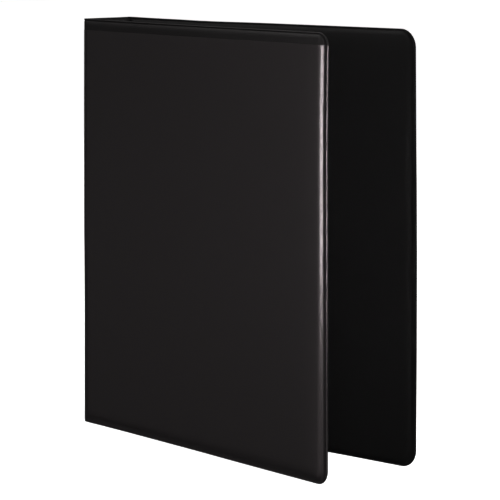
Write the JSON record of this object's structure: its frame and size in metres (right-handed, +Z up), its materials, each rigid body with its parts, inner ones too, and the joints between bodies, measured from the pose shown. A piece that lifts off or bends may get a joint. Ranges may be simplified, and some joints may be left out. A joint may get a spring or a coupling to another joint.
{
  "type": "ring binder",
  "caption": "Vinyl view binder with stiff boards, welded hinges, a clear overlay film and a riveted round-ring mechanism that opens with end levers.",
  "frame": {"origin": "middle of the spine, on the bottom edge the binder stands on", "axes": "+Z up along the spine, +X from the spine into the binder, -Y towards the front cover, +Y towards the back cover"},
  "size_m": [0.2726, 0.0827, 0.292],
  "materials": {
    "outer_vinyl": "fine grained black vinyl sheet, semi-matt",
    "inner_vinyl": "fine grained black vinyl sheet, matt",
    "clear_film": "thin clear soft film",
    "board": "grey-brown chipboard",
    "nickel": "bright nickel-plated steel",
    "steel": "plain drawn steel"
  },
  "bodies": {
    "spine": {"spine_board": "board", "spine_outer_vinyl": "outer_vinyl", "spine_inner_vinyl": "inner_vinyl", "spine_clear_overlay": "clear_film", "front_hinge_weld": "outer_vinyl", "back_hinge_weld": "outer_vinyl", "ring_housing": "nickel", "top_rivet": "nickel", "bottom_rivet": "nickel", "top_rivet_post": "steel", "bottom_rivet_post": "steel", "top_lever_pin": "steel", "bottom_lever_pin": "steel"},
    "front_cover": {"front_board": "board", "front_outer_vinyl": "outer_vinyl", "front_inner_vinyl": "inner_vinyl", "front_clear_overlay": "clear_film"},
    "back_cover": {"back_board": "board", "back_outer_vinyl": "outer_vinyl", "back_inner_vinyl": "inner_vinyl", "back_clear_overlay": "clear_film"},
    "front_leaf": {"front_blade": "nickel", "front_half_ring_bottom": "nickel", "front_half_ring_middle": "nickel", "front_half_ring_top": "nickel"},
    "back_leaf": {"back_blade": "nickel", "back_half_ring_bottom": "nickel", "back_half_ring_middle": "nickel", "back_half_ring_top": "nickel"},
    "top_lever": {"top_lever": "nickel"},
    "bottom_lever": {"bottom_lever": "nickel"}
  },
  "joints": [
    {"name": "front_cover_hinge", "type": "hinge", "parent": "spine", "child": "front_cover", "pos_m": [0, -0.0206, 0], "axis": [0, 0, -1], "range_deg": [-1.6, 176.4]},
    {"name": "back_cover_hinge", "type": "hinge", "parent": "spine", "child": "back_cover", "pos_m": [0, 0.0206, 0], "axis": [0, 0, 1], "range_deg": [-6.7, 171.3]},
    {"name": "front_leaf_tilt", "type": "hinge", "parent": "spine", "child": "front_leaf", "pos_m": [0.0044, -0.0087, 0], "axis": [0, 0, -1], "range_deg": [0, 14]},
    {"name": "back_leaf_tilt", "type": "hinge", "parent": "spine", "child": "back_leaf", "pos_m": [0.0044, 0.0087, 0], "axis": [0, 0, 1], "range_deg": [0, 14]},
    {"name": "top_lever_pivot", "type": "hinge", "parent": "spine", "child": "top_lever", "pos_m": [0.0049, 0, 0.2773], "axis": [0, -1, 0], "range_deg": [0, 31]},
    {"name": "bottom_lever_pivot", "type": "hinge", "parent": "spine", "child": "bottom_lever", "pos_m": [0.0049, 0, 0.0147], "axis": [0, 1, 0], "range_deg": [0, 31]}
  ],
  "couplings": [
    {"joint": "back_leaf_tilt", "follows": "front_leaf_tilt", "ratio": 1},
    {"joint": "top_lever_pivot", "follows": "front_leaf_tilt", "ratio": 2.2},
    {"joint": "bottom_lever_pivot", "follows": "front_leaf_tilt", "ratio": 2.2}
  ]
}
